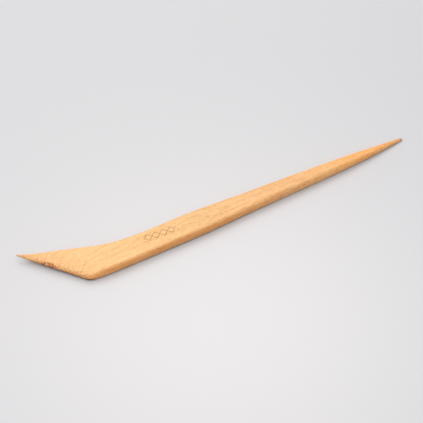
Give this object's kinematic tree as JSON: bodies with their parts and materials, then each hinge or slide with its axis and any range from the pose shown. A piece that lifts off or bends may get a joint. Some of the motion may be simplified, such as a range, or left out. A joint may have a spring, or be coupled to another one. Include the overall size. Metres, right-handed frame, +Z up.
{
  "type": "wooden modelling tool",
  "caption": "Slim wooden hand tool for modelling clay: a flared blade with a skew-cut edge at one end, a flat round-sided handle, and a long taper to a blunt point.",
  "frame": {"origin": "middle of the tool's footprint, on the surface that its flat underside rests on", "axes": "+X along the handle toward the point, +Y across it toward the blade's tip, +Z up out of the upper broad face"},
  "size_m": [0.2, 0.0302, 0.0052],
  "materials": {
    "beech": "bare sanded beech, fine flecked grain along the length, no varnish"
  },
  "bodies": {
    "root": {"modelling_tool": "beech"}
  },
  "joints": []
}
